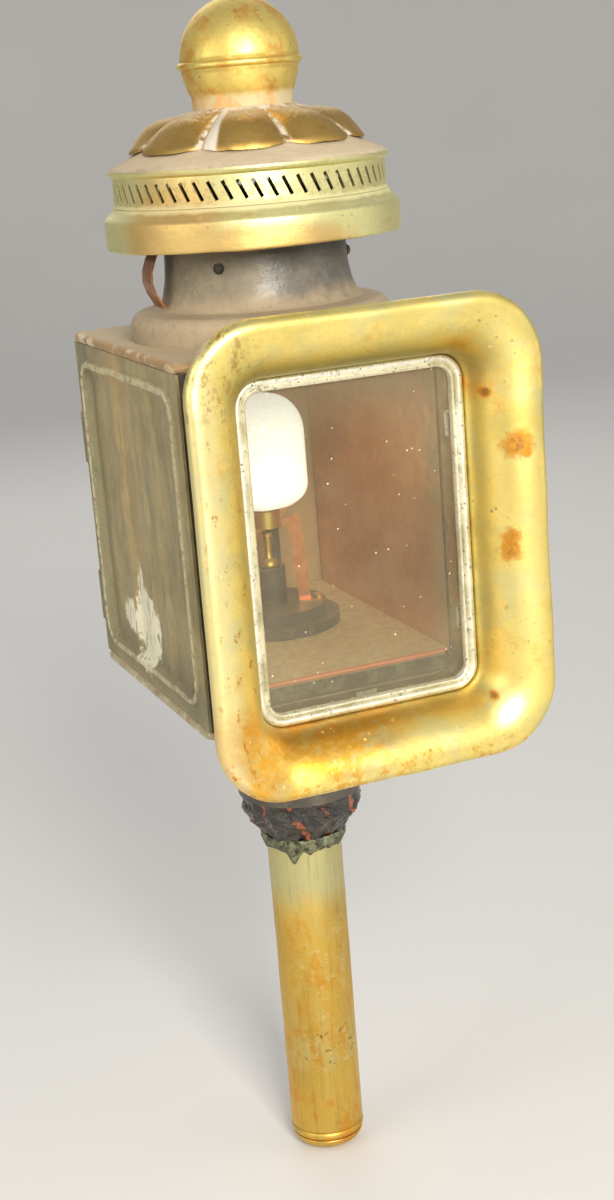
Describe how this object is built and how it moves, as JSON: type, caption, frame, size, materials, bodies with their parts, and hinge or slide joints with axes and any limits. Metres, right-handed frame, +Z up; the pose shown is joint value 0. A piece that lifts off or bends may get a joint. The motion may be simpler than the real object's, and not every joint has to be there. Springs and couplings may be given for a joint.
{
  "type": "carriage lamp",
  "caption": "Square carriage lamp with a bell-mouth glazed front, hinged rear door, vented lift-off cap with ball finial and a long round bracket stem.",
  "frame": {"origin": "on the stem's axis at its shoulder, where the free length of the stem meets the ferrule", "axes": "+Z up along the stem towards the finial, -Y out of the glazed front, +X to the right seen from the front"},
  "size_m": [0.1284, 0.1645, 0.457],
  "materials": {
    "stem_brass": "worn golden brass with a satin lacquer",
    "bell_brass": "yellow brass, spotted and patched",
    "cap_brass": "dull yellow brass under dust",
    "crown_brass": "dusty pressed brass",
    "finial_brass": "golden brass with dark specks",
    "small_brass": "plain brass",
    "body_tin": "old dark lacquer on sheet metal, dusty",
    "plate_tin": "old dark lacquer under tan dust, worn at the rolled edge",
    "door_tin": "old dark lacquer on sheet metal, dusty",
    "neck_tin": "grey-black lacquer under dust",
    "cone_tin": "dark lacquer under a thick coat of dust",
    "base_tin": "grey-black lacquer",
    "inner_tin": "sooty sheet metal",
    "ferrule_black": "black lacquer rubbed through to copper",
    "solder": "wiped soft solder",
    "silver_bezel": "tarnished silver plate",
    "copper_reflector": "silver plate worn down to tarnished copper",
    "copper_strip": "copper",
    "pane_glass": "clear glass, dusty",
    "opal_glass": "white opal glass",
    "black_fibre": "black moulded insulator",
    "spring_steel": "steel wire",
    "wire_cover": "rubber and cotton covered wire"
  },
  "bodies": {
    "lantern": {"stem_tube": "stem_brass", "stem_ferrule": "ferrule_black", "solder_seam": "solder", "base_funnel": "base_tin", "bottom_plate": "plate_tin", "side_panel_left": "body_tin", "side_panel_right": "body_tin", "front_plate": "inner_tin", "rear_frame": "door_tin", "top_plate": "plate_tin", "front_throat": "inner_tin", "bell_mouth": "bell_brass", "glass_bezel": "silver_bezel", "front_glass": "pane_glass", "glass_clips": "silver_bezel", "reflector_left": "copper_reflector", "reflector_right": "copper_reflector", "floor_plate": "copper_reflector", "chimney_neck": "neck_tin", "inner_chimney": "inner_tin", "neck_rivets": "small_brass", "cap_springs": "copper_strip", "body_hinge_leaves": "door_tin", "hinge_pins": "small_brass", "catch_pivot": "small_brass", "holder_base": "black_fibre", "holder_post": "black_fibre", "holder_uprights": "black_fibre", "socket_collar": "small_brass", "plunger_spring": "spring_steel", "contact_leaf": "copper_strip", "terminal_screws": "small_brass", "lead_wires": "wire_cover", "stem_plug": "black_fibre", "plug_screws": "small_brass"},
    "door": {"rear_door": "door_tin", "door_hinge_leaves": "door_tin", "rear_reflector": "copper_reflector", "reflector_rivets": "small_brass"},
    "catch": {"door_catch": "small_brass"},
    "cap": {"cap_skirt": "cap_brass", "cap_seat": "inner_tin", "vent_gallery": "cap_brass", "cap_cone": "cone_tin", "petal_crown": "crown_brass", "finial": "finial_brass", "finial_stud": "small_brass", "finial_nut": "small_brass", "draught_baffle": "inner_tin", "baffle_legs": "small_brass"},
    "bulb": {"bulb_glass": "opal_glass", "bulb_collar": "small_brass", "bulb_contact": "black_fibre", "bulb_filament": "spring_steel"},
    "plunger": {"contact_plunger": "small_brass", "plunger_stop": "small_brass"},
    "stem_cap": {"stem_cap": "stem_brass", "cable_bush": "black_fibre"}
  },
  "joints": [
    {"name": "door_hinge", "type": "hinge", "parent": "lantern", "child": "door", "pos_m": [-0.0525, 0.0636, 0.1365], "axis": [0, 0, 1], "range_deg": [0, 110]},
    {"name": "catch_turn", "type": "hinge", "parent": "lantern", "child": "catch", "pos_m": [0.0576, 0.0649, 0.1365], "axis": [0, -1, 0], "range_deg": [0, 90]},
    {"name": "cap_lift", "type": "slide", "parent": "lantern", "child": "cap", "axis": [0, 0, 1], "range_m": [0, 0.045]},
    {"name": "bulb_lift", "type": "slide", "parent": "lantern", "child": "bulb", "axis": [0, 0, 1], "range_m": [0, 0.02]},
    {"name": "plunger_press", "type": "slide", "parent": "lantern", "child": "plunger", "axis": [0, 0, -1], "range_m": [0, 0.003], "stiffness_N_per_m": 400, "springref_m": -0.002, "deforming": ["plunger_spring"]},
    {"name": "stem_cap_pull", "type": "slide", "parent": "lantern", "child": "stem_cap", "axis": [0, 0, -1], "range_m": [0, 0.012]}
  ]
}
